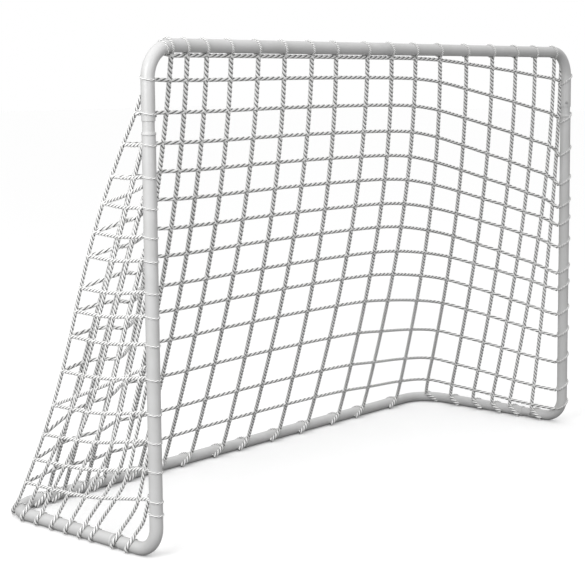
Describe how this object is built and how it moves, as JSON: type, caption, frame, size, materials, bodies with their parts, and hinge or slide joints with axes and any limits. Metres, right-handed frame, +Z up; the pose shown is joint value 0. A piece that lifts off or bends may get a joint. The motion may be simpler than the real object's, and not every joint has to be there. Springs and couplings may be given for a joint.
{
  "type": "soccer goal",
  "caption": "Free-standing garden soccer goal: bent white steel tubes plugged together with snap buttons, with a knotted cord net sloping from the crossbar to the rear bar.",
  "frame": {"origin": "on the ground, under the middle of the goal", "axes": "+X to the right seen from the front, along the crossbar; -Y out of the open mouth; +Z up"},
  "size_m": [1.802, 0.602, 1.2007],
  "materials": {
    "frame": "white powder coat, semi-gloss",
    "collar": "pale moulded plastic, satin",
    "button": "dark moulded plastic",
    "spring": "plain spring steel strip",
    "net": "white three-strand twisted cord"
  },
  "bodies": {
    "frame": {"top_left_tube": "frame", "top_right_tube": "frame", "post_left_tube": "frame", "post_right_tube": "frame", "ground_left_tube": "frame", "ground_right_tube": "frame", "left_post_collar": "collar", "right_post_collar": "collar", "left_rail_collar": "collar", "right_rail_collar": "collar", "crossbar_collar": "collar", "rear_bar_collar": "collar", "left_post_button_spring": "spring", "right_post_button_spring": "spring", "left_rail_button_spring": "spring", "right_rail_button_spring": "spring", "crossbar_button_spring": "spring", "rear_bar_button_spring": "spring", "net_back": "net", "net_side_left": "net", "net_side_right": "net"},
    "left_post_button": {"left_post_snap_button": "button"},
    "right_post_button": {"right_post_snap_button": "button"},
    "left_rail_button": {"left_rail_snap_button": "button"},
    "right_rail_button": {"right_rail_snap_button": "button"},
    "crossbar_button": {"crossbar_snap_button": "button"},
    "rear_bar_button": {"rear_bar_snap_button": "button"}
  },
  "joints": [
    {"name": "left_post_button_press", "type": "slide", "parent": "frame", "child": "left_post_button", "axis": [-0.7071, 0.7071, 0], "range_m": [0, 0.0047], "stiffness_N_per_m": 1500, "deforming": ["left_post_button_spring"]},
    {"name": "right_post_button_press", "type": "slide", "parent": "frame", "child": "right_post_button", "axis": [0.7071, 0.7071, 0], "range_m": [0, 0.0047], "stiffness_N_per_m": 1500, "deforming": ["right_post_button_spring"]},
    {"name": "left_rail_button_press", "type": "slide", "parent": "frame", "child": "left_rail_button", "axis": [-1, 0, 0], "range_m": [0, 0.0047], "stiffness_N_per_m": 1500, "deforming": ["left_rail_button_spring"]},
    {"name": "right_rail_button_press", "type": "slide", "parent": "frame", "child": "right_rail_button", "axis": [1, 0, 0], "range_m": [0, 0.0047], "stiffness_N_per_m": 1500, "deforming": ["right_rail_button_spring"]},
    {"name": "crossbar_button_press", "type": "slide", "parent": "frame", "child": "crossbar_button", "axis": [0, 0, 1], "range_m": [0, 0.0047], "stiffness_N_per_m": 1500, "deforming": ["crossbar_button_spring"]},
    {"name": "rear_bar_button_press", "type": "slide", "parent": "frame", "child": "rear_bar_button", "axis": [0, 0, -1], "range_m": [0, 0.0047], "stiffness_N_per_m": 1500, "deforming": ["rear_bar_button_spring"]}
  ]
}
